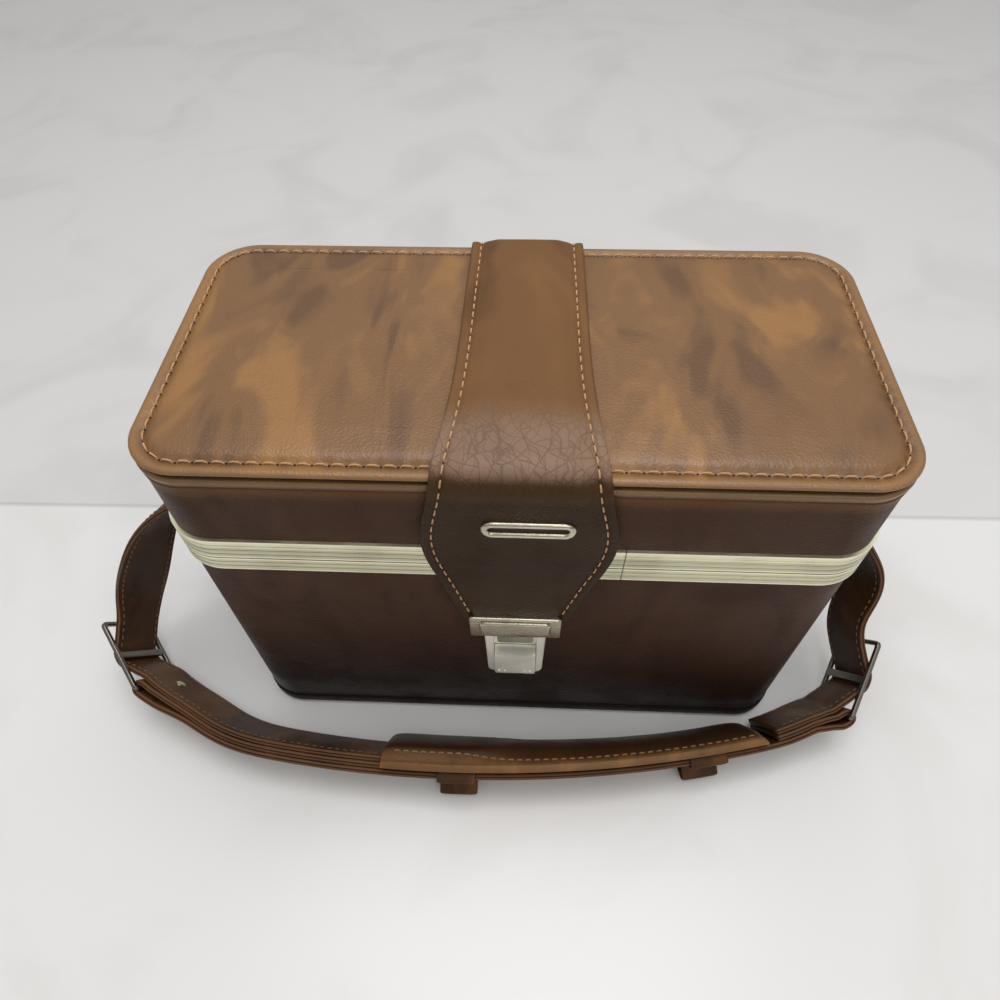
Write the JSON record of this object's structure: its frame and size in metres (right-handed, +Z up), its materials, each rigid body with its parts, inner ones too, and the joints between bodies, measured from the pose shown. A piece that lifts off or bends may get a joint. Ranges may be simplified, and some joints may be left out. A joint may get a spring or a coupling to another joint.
{
  "type": "camera case",
  "caption": "Hard leather-covered camera case with hinged lid, metal rims, flap with tuck lock and a shoulder strap with a padded sleeve.",
  "frame": {"origin": "centre of the flat underside that the case stands on", "axes": "+Z up, front with the lock towards -Y, +X to the right as seen from the front"},
  "size_m": [0.4453, 0.2042, 0.2242],
  "materials": {
    "case_board": "plain",
    "case_leather": "satin",
    "flap_leather": "satin",
    "strap_leather": "satin",
    "pad_leather": "matte",
    "valance_metal": "satin",
    "nickel_plate": "polished",
    "dark_plated_steel": "satin",
    "lining": "matte",
    "foam": "matte"
  },
  "bodies": {
    "base": {"base_tray": "case_leather", "base_shell": "case_board", "base_cover": "case_leather", "base_valance": "valance_metal", "base_lining": "lining", "floor_foam": "foam", "divider_left": "foam", "divider_right": "foam", "lock_case": "nickel_plate", "hinge_base_leaf_left": "nickel_plate", "hinge_base_leaf_right": "nickel_plate", "hinge_pin_left": "nickel_plate", "hinge_pin_right": "nickel_plate", "lug_left": "nickel_plate", "lug_right": "nickel_plate"},
    "lid": {"lid_shell": "case_board", "lid_cover": "case_leather", "lid_valance": "valance_metal", "lid_welt": "case_leather", "lid_roll": "case_leather", "lid_top": "case_leather", "lid_lining": "lining", "lid_foam": "foam", "flap_band": "flap_leather", "hinge_lid_leaf_left": "nickel_plate", "hinge_lid_leaf_right": "nickel_plate"},
    "flap": {"flap_leather": "flap_leather", "slot_plate": "nickel_plate", "hasp_plate": "nickel_plate", "hasp_tongue": "nickel_plate"},
    "lock_slider": {"lock_thumb": "nickel_plate"},
    "strap": {"main_strap": "strap_leather", "end_strap_left": "strap_leather", "end_strap_right": "strap_leather", "buckle_left": "dark_plated_steel", "buckle_right": "dark_plated_steel", "strap_ring_left": "dark_plated_steel", "strap_ring_right": "dark_plated_steel"},
    "pad": {"shoulder_pad": "pad_leather", "keeper_left": "strap_leather", "keeper_right": "strap_leather"}
  },
  "joints": [
    {"name": "lid_hinge", "type": "hinge", "parent": "base", "child": "lid", "pos_m": [0, 0.076, 0.1625], "axis": [-1, 0, 0], "range_deg": [0, 105]},
    {"name": "flap_hinge", "type": "hinge", "parent": "lid", "child": "flap", "pos_m": [0, -0.0766, 0.208], "axis": [-1, 0, 0], "range_deg": [0, 105]},
    {"name": "lock_slide", "type": "slide", "parent": "base", "child": "lock_slider", "axis": [0, 0, -1], "range_m": [0, 0.004], "stiffness_N_per_m": 150, "springref_m": -0.004},
    {"name": "strap_swing", "type": "hinge", "parent": "base", "child": "strap", "pos_m": [0, 0, 0.143], "axis": [-1, 0, 0], "range_deg": [0, 120]},
    {"name": "pad_slide", "type": "hinge", "parent": "strap", "child": "pad", "pos_m": [-0.035, 0.5765, 0], "axis": [0, 0, 1], "range_deg": [-2, 0]}
  ]
}
